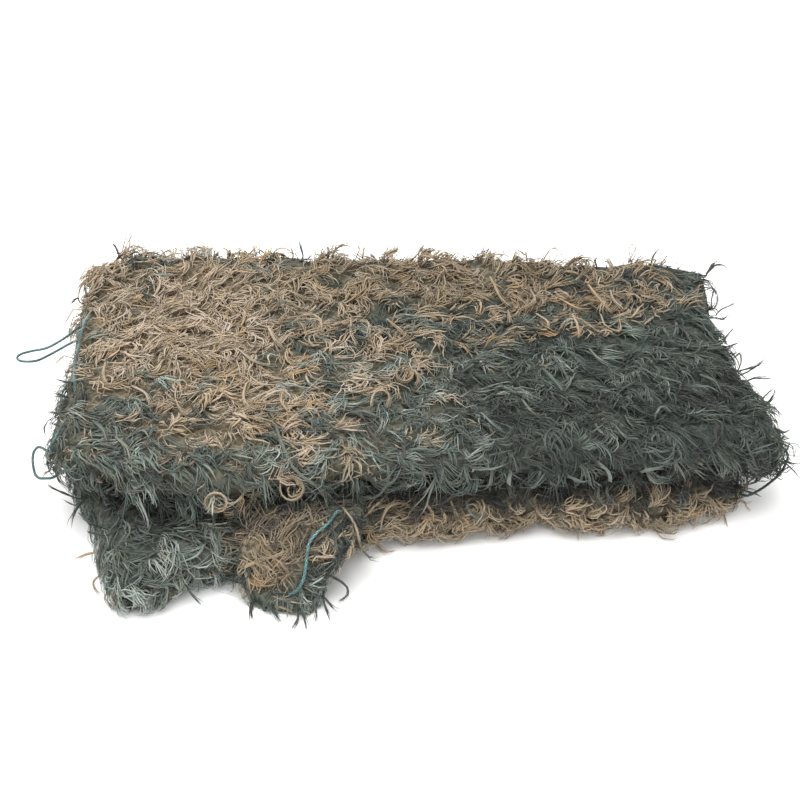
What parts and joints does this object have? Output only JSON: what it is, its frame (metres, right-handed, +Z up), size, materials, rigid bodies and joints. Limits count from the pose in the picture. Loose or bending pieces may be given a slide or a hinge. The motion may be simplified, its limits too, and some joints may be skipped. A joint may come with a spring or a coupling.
{
  "type": "camouflage net",
  "caption": "Fringed camouflage net folded back and forth into a thick shaggy pad, with a loose corner and stretches of its draw cord hanging out.",
  "frame": {"origin": "middle of the net's bounding box, without its cords, on the flat underside", "axes": "+X along the pad towards its right end, +Y from the rounded fronts towards the back, +Z up"},
  "size_m": [0.8693, 0.5397, 0.1429],
  "materials": {
    "fringed_net": "matte, fuzzy fringe strips mottled in tan, ochre and grey-green",
    "braided_cord": "satin braided synthetic cord, teal green"
  },
  "bodies": {
    "root": {"net": "fringed_net", "edge_cord_run": "braided_cord", "edge_cord_upper_loop": "braided_cord", "edge_cord_lower_run": "braided_cord", "edge_cord_lower_loop": "braided_cord", "edge_cord_corner": "braided_cord", "edge_cord_right_arc": "braided_cord"}
  },
  "joints": []
}
